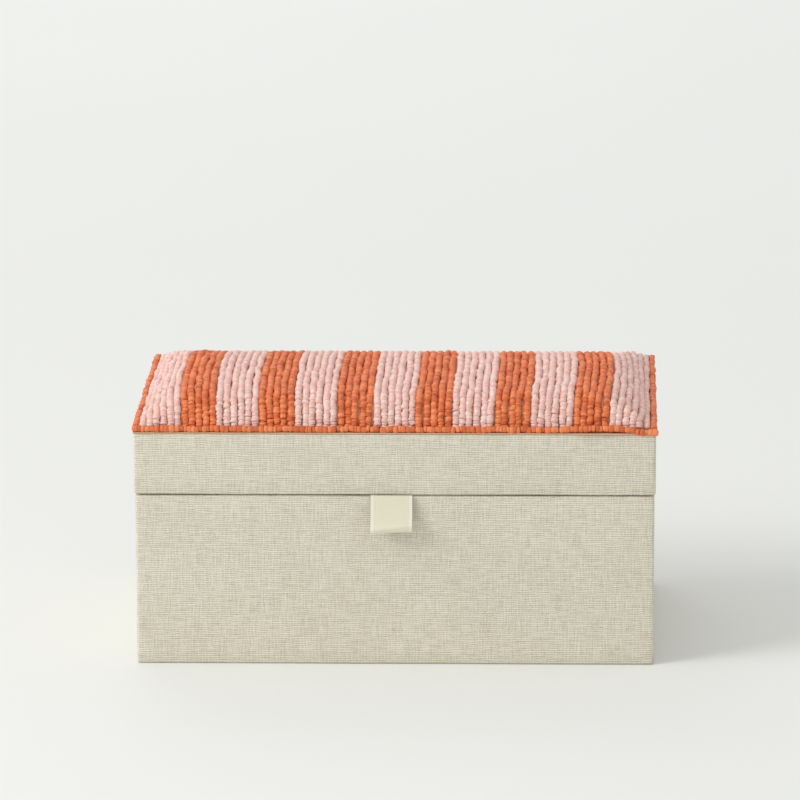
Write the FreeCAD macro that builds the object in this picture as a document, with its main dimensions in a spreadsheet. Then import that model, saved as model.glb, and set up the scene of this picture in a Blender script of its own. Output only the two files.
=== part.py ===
"""Hinged storage box: a cloth-covered board box whose lid carries a crowned pad of beaded stripes.

Frame: origin at the middle of the underside, +Z up, -Y the front, where the ribbon pull hangs, and
+Y the back, where the cloth hinge is. Millimetres.
"""

import FreeCAD
import Part
import math
import os
import Sketcher

Vector = FreeCAD.Vector

# Driving dimensions: name, value in millimetres (or a count, or degrees), what it is.
DIMENSIONS = [
    ("box_width", 200.0, "base, left to right, over its cloth"),
    ("box_depth", 130.0, "base, front to back, over its cloth"),
    ("base_height", 67.0, "underside to the base's rim"),
    ("lid_height", 24.0, "lid's rim to the top of its walls"),
    ("seam_gap", 0.5, "the ribbon holds the rims this far apart"),
    ("lid_overhang", 0.5, "lid stands out past the base, at the front and sides"),
    ("board", 2.5, "wall, floor and lid board"),
    ("cloth", 0.5, "cover cloth with its glue"),
    ("turn_in", 12.0, "cloth folded over flat boards"),
    ("corner_radius", 1.5, "upright corners, over the cloth"),
    ("bottom_panel", 1.2, "covered card under the base"),
    ("bottom_inset", 0.3, "bottom panel's edge behind the walls"),
    ("lining", 0.8, "wall lining card and its cover"),
    ("floor_lining", 1.6, "padded lining on the floor"),
    ("lining_drop", 1.0, "wall lining's edge below the rim"),
    ("bead_size", 2.6, "outside diameter of a bead"),
    ("strand_gap", 0.1, "between neighbouring strands"),
    ("border_overhang", 0.5, "border beads past the lid's walls"),
    ("bead_cloth", 0.4, "cloth that the beads are sewn to"),
    ("crown_height", 14.0, "top of the beads above the lid's walls"),
    ("crown_edge", 3.2, "top of the beads at the pad's upright edge"),
    ("crown_side_radius", 34.0, "round shoulders at the pad's two ends, over the beads"),
    ("crown_front_radius", 16.0, "steep front shoulder, over the beads"),
    ("crown_back_radius", 200.0, "long slope down to the hinge, over the beads"),
    ("pink_strands", 6, "strands in a pink stripe"),
    ("orange_strands", 5, "strands in an orange stripe"),
    ("orange_stripes", 6, "orange stripes; there is one more pink one"),
    ("hinge_leaf", 12.0, "hinge cloth glued to each wall, outside"),
    ("hinge_inner_leaf", 9.0, "hinge cloth glued to each wall, inside"),
    ("hinge_margin", 6.0, "hinge cloth's end to the box's side"),
    ("fold_relief", 0.3, "free cloth beside the outer fold, on each side"),
    ("inner_fold_depth", 2.6, "how far the slack inner fold stands into the box"),
    ("inner_fold_gap", 0.1, "slack inner fold to the leaf on the lid"),
    ("ribbon_width", 15.6, "ribbon pull, selvedge to selvedge"),
    ("ribbon", 0.2, "one layer of ribbon"),
    ("ribbon_glued", 14.0, "doubled ribbon glued up inside the lid"),
    ("ribbon_exit", 0.4, "doubled ribbon past the lid's front"),
    ("ribbon_offset", -1.6, "ribbon pull's middle, right of the box's middle"),
    ("ribbon_drop", 13.8, "hinge line of the pull to the middle of its fold"),
    ("ribbon_fold_radius", 1.1, "outside of the fold at the bottom of the pull"),
    ("ribbon_neck", 0.35, "outside radius of the doubled ribbon at the top of the pull"),
    ("ribbon_lean", 20.0, "pull's angle out from the front, as it hangs"),
    ("ribbon_clearance", 0.1, "pull's neck to the doubled ribbon that it hangs from"),
    ("ribbon_slot", 0.3, "recess in the lining past each side of the ribbon"),
]


def make_sheet(doc):
    """Puts the driving dimensions in a spreadsheet, one aliased cell each."""
    sheet = doc.addObject("Spreadsheet::Sheet", "Dims")
    for row, (name, size, note) in enumerate(DIMENSIONS, start=1):
        sheet.set(f"A{row}", name)
        sheet.set(f"B{row}", str(size))
        sheet.setAlias(f"B{row}", name)
        sheet.set(f"C{row}", note)
    doc.recompute()
    return sheet


doc = FreeCAD.newDocument("hinged_box")
sheet = make_sheet(doc)


def dims(text):
    """An expression whose words are the sheet's names, written in full for the document."""
    for name, _, _ in sorted(DIMENSIONS, key=lambda row: -len(row[0])):
        text = text.replace(f"[{name}]", f"Dims.{name}")
    return f"({text})"


def number(expression):
    """What an expression comes to, as a plain number."""
    return float(sheet.evalExpression(expression))


# Levels and sizes that several pieces share, each worked out from the sheet.
LID_RIM = dims("[base_height] + [seam_gap]")
LID_TOP = dims("[base_height] + [seam_gap] + [lid_height]")
LID_WIDTH = dims("[box_width] + 2 * [lid_overhang]")
LID_DEPTH = dims("[box_depth] + [lid_overhang]")
LID_MIDDLE = dims("-[lid_overhang] / 2")
WALL = dims("[board] + 2 * [cloth]")
FLOOR = dims("[bottom_panel] + [cloth]")
CEILING = f"({LID_TOP} - Dims.cloth - Dims.board)"
SEAM = dims("[base_height] + [seam_gap] / 2")
BACK = dims("[box_depth] / 2")
FRONT_OF_LID = dims("-[box_depth] / 2 - [lid_overhang]")

# The beaded crown: shoulders are arcs about centres that all its layers share.
BORDER_WIDTH = f"({LID_WIDTH} + 2 * Dims.border_overhang)"
BORDER_DEPTH = f"({LID_DEPTH} + 2 * Dims.border_overhang)"
CROWN_WIDTH = f"({BORDER_WIDTH} - 2 * Dims.bead_size - 2 * Dims.strand_gap)"
CROWN_DEPTH = f"({BORDER_DEPTH} - 2 * Dims.bead_size - 2 * Dims.strand_gap)"
SHOULDER = "sqrt({0} ^ 2 - ({0} - Dims.crown_height + Dims.crown_edge) ^ 2)"
STRANDS = dims("[pink_strands] * ([orange_stripes] + 1) + [orange_strands] * [orange_stripes]")
PITCH = f"({CROWN_WIDTH} / {STRANDS})"

pieces = []


def keep(piece, label):
    """Names a finished piece and lists it for export."""
    piece.Label = label
    pieces.append(piece)
    return piece


def place(piece, x, y, z):
    """Moves a piece to the point that three expressions give."""
    for name, distance in zip("xyz", (x, y, z)):
        piece.setExpression(f"Placement.Base.{name}", distance)


def block(label, size, middle, low):
    """A box of size (x, y, z) expressions, centred on middle (x, y), standing on the level low."""
    box = doc.addObject("Part::Box", label)
    for name, length in zip(("Length", "Width", "Height"), size):
        box.setExpression(name, length)
    place(box, f"{middle[0]} - {size[0]} / 2", f"{middle[1]} - {size[1]} / 2", low)
    return box


def rod(label, radius, length, axis, start):
    """A round bar of this length from start; its own upright axis is laid over by 90 degrees about axis."""
    bar = doc.addObject("Part::Cylinder", label)
    bar.setExpression("Radius", radius)
    bar.setExpression("Height", length)
    bar.Placement = FreeCAD.Placement(Vector(), FreeCAD.Rotation(axis, 90))
    place(bar, *start)
    return bar


def cut(label, base, tool):
    """base with tool's space taken out of it."""
    made = doc.addObject("Part::Cut", label)
    made.Base = base
    made.Tool = tool
    return made


def common(label, base, tool):
    """What base and tool share."""
    made = doc.addObject("Part::Common", label)
    made.Base = base
    made.Tool = tool
    return made


def sketch_on(body, role, level="0"):
    """A sketch on one of the body's own planes, or this far off it."""
    sketch = body.newObject("Sketcher::SketchObject", f"{body.Name}_sketch")
    plane = [found for found in body.Origin.OriginFeatures if found.Role == role][0]
    sketch.AttachmentSupport = [(plane, "")]
    sketch.MapMode = "FlatFace"
    sketch.setExpression("AttachmentOffset.Base.z", level)
    return sketch


def rectangle(sketch, width, depth):
    """Draws a rectangle of two driven sizes about the sketch's origin."""
    x, y = number(width) / 2, number(depth) / 2
    corners = [Vector(-x, -y), Vector(x, -y), Vector(x, y), Vector(-x, y)]
    first = sketch.GeometryCount
    for start, end in zip(corners, corners[1:] + corners[:1]):
        sketch.addGeometry(Part.LineSegment(start, end), False)
    for side in range(4):
        following = first + (side + 1) % 4
        sketch.addConstraint(Sketcher.Constraint("Coincident", first + side, 2, following, 1))
    for side, way in zip(range(4), ("Horizontal", "Vertical") * 2):
        sketch.addConstraint(Sketcher.Constraint(way, first + side))
    sketch.addConstraint(Sketcher.Constraint("Symmetric", first, 1, first + 1, 2, -1, 1))
    wide = sketch.addConstraint(Sketcher.Constraint("DistanceX", first, 1, first, 2, 2 * x))
    deep = sketch.addConstraint(Sketcher.Constraint("DistanceY", first + 1, 1, first + 1, 2, 2 * y))
    sketch.setExpression(f"Constraints[{wide}]", width)
    sketch.setExpression(f"Constraints[{deep}]", depth)


def pad(body, sketch, length, symmetric=False):
    """Adds the sketch's outline to the body, this long."""
    made = body.newObject("PartDesign::Pad", f"{body.Name}_pad")
    made.Profile = sketch
    made.Midplane = symmetric
    made.setExpression("Length", length)
    return made


def pocket_up(body, sketch, length):
    """Cuts the sketch's outline out of the body, from its plane upwards, and checks that it cut."""
    doc.recompute()
    before = body.Shape.Volume
    made = body.newObject("PartDesign::Pocket", f"{body.Name}_pocket")
    made.Profile = sketch
    made.Reversed = True
    made.setExpression("Length", length)
    doc.recompute()
    if not body.Shape.Volume < before:
        raise RuntimeError(f"{made.Name} cuts nothing")
    return made


def round_uprights(body, radius):
    """Rounds the body's upright edges."""
    doc.recompute()
    tip = body.Tip
    upright = []
    for index, edge in enumerate(tip.Shape.Edges, start=1):
        along = edge.tangentAt(edge.FirstParameter)
        if abs(along.z) > 0.99:
            upright.append(f"Edge{index}")
    made = body.newObject("PartDesign::Fillet", f"{body.Name}_fillet")
    made.Base = (tip, upright)
    made.setExpression("Radius", radius)


def cover_cloth(label, width, depth, middle, low, height, rim_up):
    """One strip of cloth round four walls: folded over their rim, down their inner faces, and turned
    in over the flat board at the other end. The walls' own boards stand in the space inside it."""
    body = doc.addObject("PartDesign::Body", label)
    place(body, "0", middle, low)

    def smaller(by):
        return f"({width} - 2 * {by})", f"({depth} - 2 * {by})"

    outside = sketch_on(body, "XY_Plane")
    rectangle(outside, width, depth)
    pad(body, outside, height)
    # A rounder corner than this would come through the cloth at the boards' sharp corners.
    round_uprights(body, dims("min([corner_radius]; 3 * [cloth])"))

    board_space = sketch_on(body, "XY_Plane", "Dims.cloth")
    rectangle(board_space, *smaller("Dims.cloth"))
    rectangle(board_space, *smaller(dims("[cloth] + [board]")))
    pocket_up(body, board_space, f"{height} - 2 * Dims.cloth")

    mouth = sketch_on(body, "XY_Plane", "Dims.cloth" if rim_up else "0")
    rectangle(mouth, *smaller(WALL))
    pocket_up(body, mouth, f"{height} - Dims.cloth")

    turned_in = sketch_on(body, "XY_Plane", "0" if rim_up else f"{height} - Dims.cloth")
    rectangle(turned_in, *smaller("Dims.turn_in"))
    pocket_up(body, turned_in, "Dims.cloth")
    return keep(body, label)


def walls(prefix, suffix, thickness, width, depth, middle, low, high, inset, back=None):
    """Four upright panels, inset inside width and depth. The front and back run right across, and the
    sides stand between them. The back one may have its own (low, high) levels."""
    across = f"({width} - 2 * {inset})"
    between = f"({depth} - 2 * {inset} - 2 * {thickness})"
    to_front = f"(({depth} - {thickness}) / 2 - {inset})"
    to_side = f"(({width} - {thickness}) / 2 - {inset})"
    tall = f"({high} - {low})"
    back_low, back_high = back or (low, high)
    back_tall = f"({back_high} - {back_low})"
    panels = {
        "front": ((across, thickness, tall), ("0", f"({middle} - {to_front})"), low),
        "back": ((across, thickness, back_tall), ("0", f"({middle} + {to_front})"), back_low),
        "left": ((thickness, between, tall), (f"(-{to_side})", middle), low),
        "right": ((thickness, between, tall), (to_side, middle), low),
    }
    return {side: block(f"{prefix}_{side}_{suffix}", *panel) for side, panel in panels.items()}


def keep_all(panels):
    """Keeps each panel under its own name."""
    for panel in panels.values():
        keep(panel, panel.Name)


# ---- Base: five boards, one cover cloth, a bottom panel and the linings.


def make_base():
    width, depth, middle = "Dims.box_width", "Dims.box_depth", "0"
    rim = "Dims.base_height"
    cloth_height = dims("[base_height] - [bottom_panel]")
    cover_cloth("base_cover_cloth", width, depth, middle, "Dims.bottom_panel", cloth_height, rim_up=True)

    under_rim_cloth = f"({rim} - Dims.cloth)"
    keep_all(walls("base", "board", "Dims.board", width, depth, middle, FLOOR, under_rim_cloth, "Dims.cloth"))
    inner = (f"({width} - 2 * {WALL})", f"({depth} - 2 * {WALL})")
    keep(block("base_floor_board", (*inner, "Dims.board"), ("0", middle), FLOOR), "base_floor_board")

    floor_top = f"({FLOOR} + Dims.board)"
    floor_lining = block("base_floor_lining", (*inner, "Dims.floor_lining"), ("0", middle), floor_top)
    keep(floor_lining, "base_floor_lining")
    low = f"({floor_top} + Dims.floor_lining)"
    high = f"({rim} - Dims.lining_drop)"
    # The back lining stops where the inner hinge cloth starts.
    back = (low, f"({high} - Dims.hinge_inner_leaf)")
    keep_all(walls("base", "lining", "Dims.lining", width, depth, middle, low, high, WALL, back))

    under = (f"({width} - 2 * Dims.bottom_inset)", f"({depth} - 2 * Dims.bottom_inset)")
    bottom = block("base_bottom_panel", (*under, "Dims.bottom_panel"), ("0", middle), "0")
    keep(bottom, "base_bottom_panel")


# ---- Lid: the same build turned over, with its board on top.


def make_lid():
    size = (LID_WIDTH, LID_DEPTH, LID_MIDDLE)
    cover_cloth("lid_cover_cloth", *size, LID_RIM, "Dims.lid_height", rim_up=False)

    low, high = f"({LID_RIM} + Dims.cloth)", f"({LID_TOP} - Dims.cloth)"
    keep_all(walls("lid", "board", "Dims.board", *size, low, high, "Dims.cloth"))
    inner = (f"({LID_WIDTH} - 2 * {WALL})", f"({LID_DEPTH} - 2 * {WALL})")
    keep(block("lid_top_board", (*inner, "Dims.board"), ("0", LID_MIDDLE), CEILING), "lid_top_board")

    ceiling = f"({CEILING} - Dims.lining)"
    keep(block("lid_top_lining", (*inner, "Dims.lining"), ("0", LID_MIDDLE), ceiling), "lid_top_lining")
    low = f"({LID_RIM} + Dims.lining_drop)"
    back = (f"({low} + Dims.hinge_inner_leaf)", ceiling)
    linings = walls("lid", "lining", "Dims.lining", *size, low, ceiling, WALL, back)

    # The ribbon's glued end lies behind the front lining, in a shallow recess.
    whole = linings.pop("front")
    whole.Label = "lid_front_lining_blank"
    recess_size = (
        dims("[ribbon_width] + 2 * [ribbon_slot]"),
        "(2 * Dims.ribbon)",
        dims("[ribbon_glued] + [ribbon_slot]"),
    )
    recess_middle = ("Dims.ribbon_offset", f"({FRONT_OF_LID} + {WALL} + Dims.ribbon)")
    recess = block("ribbon_recess", recess_size, recess_middle, LID_RIM)
    keep(cut("lid_front_lining", whole, recess), "lid_front_lining")
    keep_all(linings)


# ---- Crown: foam pad, the cloth over it, and strands of beads sewn to the cloth.


def arch(name, role, span, depth_below, run, low_side, high_side):
    """A long bar with the crown's outline, depth_below under the beads' outer face. span is the
    crown's own width along the sketch, low_side and high_side are the radii of its two shoulders,
    and the shoulders keep their centres at every depth."""
    body = doc.addObject("PartDesign::Body", name)
    place(body, "0", LID_MIDDLE, LID_TOP)
    sketch = sketch_on(body, role)
    height = f"(Dims.crown_height - {depth_below})"
    from_low = f"({span} / 2 - {SHOULDER.format(low_side)})"
    from_high = f"({span} / 2 - {SHOULDER.format(high_side)})"

    top, upright = number(height), math.pi / 2
    shoulders = []
    for side, reach in ((low_side, -number(from_low)), (high_side, number(from_high))):
        r = number(f"{side} - {depth_below}")
        centre = top - r
        foot = reach + math.copysign(math.sqrt(r * r - centre * centre), reach)
        shoulders.append((r, reach, centre, foot, math.asin(-centre / r)))
    (r1, x1, y1, foot1, low1), (r2, x2, y2, foot2, low2) = shoulders
    left = Part.Circle(Vector(x1, y1), Vector(0, 0, 1), r1)
    right = Part.Circle(Vector(x2, y2), Vector(0, 0, 1), r2)
    sketch.addGeometry(Part.LineSegment(Vector(foot1, 0), Vector(foot2, 0)), False)
    sketch.addGeometry(Part.ArcOfCircle(right, low2, upright), False)
    sketch.addGeometry(Part.LineSegment(Vector(x2, top), Vector(x1, top)), False)
    sketch.addGeometry(Part.ArcOfCircle(left, upright, math.pi - low1), False)
    for rule in (
        ("Coincident", 0, 2, 1, 1),
        ("Tangent", 1, 2, 2, 1),
        ("Tangent", 2, 2, 3, 1),
        ("Coincident", 3, 2, 0, 1),
        ("PointOnObject", 0, 1, -1),
        ("PointOnObject", 0, 2, -1),
        ("Horizontal", 2),
    ):
        sketch.addConstraint(Sketcher.Constraint(*rule))
    for rule, size in (
        (("Radius", 1, r2), f"{high_side} - {depth_below}"),
        (("Radius", 3, r1), f"{low_side} - {depth_below}"),
        (("DistanceX", 3, 3, -1, 1, -x1), from_low),
        (("DistanceX", -1, 1, 1, 3, x2), from_high),
        (("DistanceY", -1, 1, 2, 2, top), height),
    ):
        driven = sketch.addConstraint(Sketcher.Constraint(*rule))
        sketch.setExpression(f"Constraints[{driven}]", size)
    pad(body, sketch, run, symmetric=True)
    return body


def crown(name, depth_below):
    """The crown's whole volume, depth_below under the beads' outer face: two arched bars crossed,
    each as long as the other is wide, which leaves the pad's upright edge."""
    side, front, back = "Dims.crown_side_radius", "Dims.crown_front_radius", "Dims.crown_back_radius"
    deep, wide = (f"({size} - 2 * {depth_below})" for size in (CROWN_DEPTH, CROWN_WIDTH))
    across = arch(f"{name}_across", "XZ_Plane", CROWN_WIDTH, depth_below, deep, side, side)
    along = arch(f"{name}_along", "YZ_Plane", CROWN_DEPTH, depth_below, wide, front, back)
    return common(name, across, along)


def make_crown():
    filling = keep(crown("foam_pad", dims("[bead_size] + [bead_cloth]")), "foam_pad")

    flange_size = (f"({LID_WIDTH} + Dims.border_overhang)", f"({LID_DEPTH} + Dims.border_overhang)")
    under_beads = doc.addObject("Part::Fuse", "under_beads")
    under_beads.Base = crown("cloth_crown", "Dims.bead_size")
    under_beads.Tool = block("cloth_flange", (*flange_size, "Dims.bead_cloth"), ("0", LID_MIDDLE), LID_TOP)
    keep(cut("bead_cloth", under_beads, filling), "bead_cloth")

    beads = cut("bead_layer", crown("bead_crown", "0"), under_beads)
    left_edge = f"(-{CROWN_WIDTH} / 2)"
    for index in range(2 * int(number("Dims.orange_stripes")) + 1):
        colour = "orange" if index % 2 else "pink"
        count = f"Dims.{colour}_strands"
        label = f"{colour}_stripe_{index // 2 + 1}"
        keep(common(label, beads, strand_comb(f"{label}_comb", left_edge, count)), label)
        left_edge = f"({left_edge} + {count} * {PITCH})"


def strand_comb(name, left_edge, count):
    """Upright slices, one to a strand: what a stripe keeps of the bead layer."""
    body = doc.addObject("PartDesign::Body", name)
    place(body, f"({left_edge} + {PITCH} / 2)", LID_MIDDLE, LID_TOP)
    sketch = sketch_on(body, "XY_Plane")
    rectangle(sketch, f"({PITCH} - Dims.strand_gap)", BORDER_DEPTH)
    first = pad(body, sketch, "(Dims.crown_height + Dims.bead_size)")
    row = body.newObject("PartDesign::LinearPattern", f"{name}_pattern")
    row.Originals = [first]
    row.Direction = (sketch, ["H_Axis"])
    row.setExpression("Length", f"({count} - 1) * {PITCH}")
    row.setExpression("Occurrences", count)
    body.Tip = row
    return body


def make_border():
    """One strand of beads round the foot of the crown, laid as four straight runs."""
    radius = dims("[bead_size] / 2")
    level = f"({LID_TOP} + Dims.bead_cloth + {radius})"
    to_side = f"({BORDER_WIDTH} / 2 - {radius})"
    to_front = f"({BORDER_DEPTH} / 2 - {radius})"
    side_run = f"({BORDER_DEPTH} - 2 * Dims.bead_size - 2 * Dims.strand_gap)"
    left_end = f"(-{BORDER_WIDTH} / 2)"
    back_end = f"({LID_MIDDLE} + {side_run} / 2)"
    along_x, along_y = Vector(0, 1, 0), Vector(1, 0, 0)
    runs = {
        "front": (BORDER_WIDTH, along_x, (left_end, f"({LID_MIDDLE} - {to_front})", level)),
        "back": (BORDER_WIDTH, along_x, (left_end, f"({LID_MIDDLE} + {to_front})", level)),
        "left": (side_run, along_y, (f"(-{to_side})", back_end, level)),
        "right": (side_run, along_y, (to_side, back_end, level)),
    }
    for side, run in runs.items():
        keep(rod(f"border_{side}", radius, *run), f"border_{side}")


# ---- Cloth hinge: a strip outside the back walls and a slack one inside.


def make_hinge():
    width = dims("[box_width] - 2 * [hinge_margin]")

    y = f"({BACK} + Dims.cloth / 2)"
    leaf = (width, "Dims.cloth", dims("[hinge_leaf] - [fold_relief]"))
    low = dims("[base_height] - [hinge_leaf]")
    keep(block("hinge_outer_base_leaf", leaf, ("0", y), low), "hinge_outer_base_leaf")
    low = f"({LID_RIM} + Dims.fold_relief)"
    keep(block("hinge_outer_lid_leaf", leaf, ("0", y), low), "hinge_outer_lid_leaf")
    # The cloth between the leaves bends on this line; it is as thick as the seam lets it be.
    radius = dims("min([cloth]; [seam_gap]) / 2")
    start = (f"(-{width} / 2)", y, SEAM)
    keep(rod("hinge_outer_fold", radius, width, Vector(0, 1, 0), start), "hinge_outer_fold")

    y = f"({BACK} - {WALL} - Dims.cloth / 2)"
    leaf = (width, "Dims.cloth", "Dims.hinge_inner_leaf")
    base_leaf_top = dims("[base_height] - [lining_drop]")
    lid_leaf_foot = f"({LID_RIM} + Dims.lining_drop)"
    low = f"({base_leaf_top} - Dims.hinge_inner_leaf)"
    keep(block("hinge_inner_base_leaf", leaf, ("0", y), low), "hinge_inner_base_leaf")
    keep(block("hinge_inner_lid_leaf", leaf, ("0", y), lid_leaf_foot), "hinge_inner_lid_leaf")
    # Spare cloth that lets the lid open stands into the box between the two leaves.
    y = f"({BACK} - {WALL} - Dims.inner_fold_depth / 2)"
    height = f"({lid_leaf_foot} - Dims.inner_fold_gap - {base_leaf_top})"
    fold = block("hinge_inner_fold", (width, "Dims.inner_fold_depth", height), ("0", y), base_leaf_top)
    keep(fold, "hinge_inner_fold")


# ---- Ribbon pull: its doubled ends glued inside the lid's front, its loop hanging in front.


def make_ribbon():
    doubled = "(2 * Dims.ribbon)"
    under_rim = f"({LID_RIM} - {doubled})"
    inside = f"({FRONT_OF_LID} + {WALL})"
    upright = block(
        "ribbon_upright",
        ("Dims.ribbon_width", doubled, f"(Dims.ribbon_glued + {doubled})"),
        ("Dims.ribbon_offset", f"({inside} + Dims.ribbon)"),
        under_rim,
    )
    run = f"({WALL} + Dims.ribbon_exit)"
    flat = block(
        "ribbon_flat",
        ("Dims.ribbon_width", run, doubled),
        ("Dims.ribbon_offset", f"({inside} - {run} / 2)"),
        under_rim,
    )
    glued = doc.addObject("Part::Fuse", "ribbon_glued_end")
    glued.Base = upright
    glued.Tool = flat
    keep(glued, "ribbon_glued_end")

    loop = doc.addObject("PartDesign::Body", "ribbon_loop")
    sketch = sketch_on(loop, "YZ_Plane")
    loop_outline(sketch)
    pad(loop, sketch, "Dims.ribbon_width", symmetric=True)
    # The lean is a turn about -X, and the line that the pull swings on is its sketch's origin.
    loop.Placement = FreeCAD.Placement(Vector(), FreeCAD.Rotation(Vector(-1, 0, 0), 1))
    loop.setExpression("Placement.Rotation.Angle", "Dims.ribbon_lean")
    swing_y = f"({FRONT_OF_LID} - Dims.ribbon_exit - Dims.ribbon_clearance - Dims.ribbon_neck)"
    place(loop, "Dims.ribbon_offset", swing_y, f"({LID_RIM} - Dims.ribbon)")
    keep(loop, "ribbon_loop")


def loop_outline(sketch):
    """A teardrop ring, hanging from the sketch's origin: narrow where the ribbon's two layers meet,
    round where it turns back on itself."""
    neck, fold, drop, thick = (
        number(f"Dims.{name}") for name in ("ribbon_neck", "ribbon_fold_radius", "ribbon_drop", "ribbon")
    )
    z = Vector(0, 0, 1)
    # Where the sides leave each circle: they lean out by this angle from top to bottom.
    flare = math.asin((fold - neck) / drop)
    top = Part.ArcOfCircle(Part.Circle(Vector(0, 0), z, neck), flare, math.pi - flare)
    bottom = Part.ArcOfCircle(Part.Circle(Vector(0, -drop), z, fold), math.pi - flare, 2 * math.pi + flare)
    inner_fold = fold - thick
    inner_flare = math.asin(inner_fold / (drop - neck))
    inner = Part.ArcOfCircle(
        Part.Circle(Vector(0, -drop), z, inner_fold), math.pi - inner_flare, 2 * math.pi + inner_flare
    )
    sketch.addGeometry(top, False)
    sketch.addGeometry(Part.LineSegment(top.EndPoint, bottom.StartPoint), False)
    sketch.addGeometry(bottom, False)
    sketch.addGeometry(Part.LineSegment(bottom.EndPoint, top.StartPoint), False)
    tip = Vector(0, -neck)
    sketch.addGeometry(Part.LineSegment(tip, inner.StartPoint), False)
    sketch.addGeometry(inner, False)
    sketch.addGeometry(Part.LineSegment(inner.EndPoint, tip), False)
    for rule in (
        ("Tangent", 0, 2, 1, 1),
        ("Tangent", 1, 2, 2, 1),
        ("Tangent", 2, 2, 3, 1),
        ("Tangent", 3, 2, 0, 1),
        ("Coincident", 0, 3, -1, 1),
        ("PointOnObject", 2, 3, -2),
        ("Tangent", 4, 2, 5, 1),
        ("Tangent", 5, 2, 6, 1),
        ("Coincident", 6, 2, 4, 1),
        ("Coincident", 5, 3, 2, 3),
        ("PointOnObject", 4, 1, -2),
    ):
        sketch.addConstraint(Sketcher.Constraint(*rule))
    for rule, size in (
        (("Radius", 0, neck), "Dims.ribbon_neck"),
        (("Radius", 2, fold), "Dims.ribbon_fold_radius"),
        (("Radius", 5, inner_fold), dims("[ribbon_fold_radius] - [ribbon]")),
        (("DistanceY", 2, 3, -1, 1, drop), "Dims.ribbon_drop"),
        (("DistanceY", 4, 1, -1, 1, neck), "Dims.ribbon_neck"),
    ):
        driven = sketch.addConstraint(Sketcher.Constraint(*rule))
        sketch.setExpression(f"Constraints[{driven}]", size)


def write_parts():
    """Checks every object and piece, then writes one STEP file for each piece."""
    doc.recompute()
    for found in doc.Objects:
        if {"Invalid", "Error"} & set(found.State):
            raise RuntimeError(f"{found.Label} failed: {found.State}")
    for piece in pieces:
        if piece.Shape.isNull() or not piece.Shape.isValid() or not piece.Shape.Solids:
            raise RuntimeError(f"{piece.Label} has no valid solid")
    os.makedirs("parts", exist_ok=True)
    for piece in pieces:
        piece.Shape.exportStep(os.path.join("parts", f"{piece.Label}.step"))
        print(f"{piece.Label}: {len(piece.Shape.Solids)} solid(s), {piece.Shape.Volume:.1f} mm3")


make_base()
make_lid()
make_crown()
make_border()
make_hinge()
make_ribbon()
write_parts()
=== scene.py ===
"""Cloth-covered keepsake box: greyboards, linen covers, cotton linings, and a crowned lid of
beads strung in pink and orange stripes, with an ivory ribbon to pull it open by."""
import math
import bpy
import bmesh
import numpy as np
from mathutils import Matrix, Vector, noise


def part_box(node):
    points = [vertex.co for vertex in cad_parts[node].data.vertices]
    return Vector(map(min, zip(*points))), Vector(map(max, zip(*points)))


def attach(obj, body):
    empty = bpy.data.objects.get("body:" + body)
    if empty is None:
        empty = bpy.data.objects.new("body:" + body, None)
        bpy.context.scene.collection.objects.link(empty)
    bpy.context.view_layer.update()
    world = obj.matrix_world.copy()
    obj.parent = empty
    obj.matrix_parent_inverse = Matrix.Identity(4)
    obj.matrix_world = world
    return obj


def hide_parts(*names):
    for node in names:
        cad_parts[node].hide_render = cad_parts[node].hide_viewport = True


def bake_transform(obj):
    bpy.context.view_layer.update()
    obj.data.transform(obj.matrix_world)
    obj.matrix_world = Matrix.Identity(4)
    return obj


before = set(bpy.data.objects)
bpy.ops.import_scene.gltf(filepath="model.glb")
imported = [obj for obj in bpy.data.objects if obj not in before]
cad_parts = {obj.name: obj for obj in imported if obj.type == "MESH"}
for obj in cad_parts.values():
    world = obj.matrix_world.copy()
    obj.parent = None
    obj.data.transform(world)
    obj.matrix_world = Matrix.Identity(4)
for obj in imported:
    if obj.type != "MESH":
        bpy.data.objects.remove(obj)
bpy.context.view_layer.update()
MM = 0.001

# The boards: walls, floor and lid top are cut from 2.5 mm greyboard and glued into two trays.
# They stay as they are in the frame, and only get the speckled grey of pulped board.


def new_material(name):
    """A material with its shader, and a function that adds a node to it."""
    material = bpy.data.materials.new(name)
    material.use_nodes = True
    tree = material.node_tree
    shader = tree.nodes["Principled BSDF"]

    def node(kind, **settings):
        made = tree.nodes.new("ShaderNode" + kind)
        for key, value in settings.items():
            if key in made.bl_rna.properties:
                setattr(made, key, value)
            else:
                made.inputs[key.replace("_", " ")].default_value = value
        return made

    return material, shader, node, tree.links.new


greyboard, shader, node, link = new_material("greyboard")
place = node("TexCoord")
pulp = node("TexNoise", Scale=900.0, Detail=4.0, Roughness=0.7)
link(place.outputs["Object"], pulp.inputs["Vector"])
grey = node("ValToRGB")
dark, pale = grey.color_ramp.elements
dark.position, dark.color = 0.3, (0.22, 0.20, 0.17, 1)
pale.position, pale.color = 0.7, (0.36, 0.34, 0.30, 1)
link(pulp.outputs["Fac"], grey.inputs["Fac"])
link(grey.outputs["Color"], shader.inputs["Base Color"])
shader.inputs["Roughness"].default_value = 0.9
rough = node("Bump", Strength=0.4, Distance=0.0002)
link(pulp.outputs["Fac"], rough.inputs["Height"])
link(rough.outputs["Normal"], shader.inputs["Normal"])


def wear(piece, material):
    """The material goes on the whole piece."""
    piece.data.materials.clear()
    piece.data.materials.append(material)


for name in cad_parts:
    if name.endswith("_board"):
        wear(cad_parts[name], greyboard)

# The base's cover: one strip of oatmeal linen glued round the four walls, turned over the rim
# and in under the bottom, its corners worn round by handling.


def select_none():
    if bpy.context.object and bpy.context.object.mode != "OBJECT":
        bpy.ops.object.mode_set(mode="OBJECT")
    bpy.ops.object.select_all(action="DESELECT")


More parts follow.
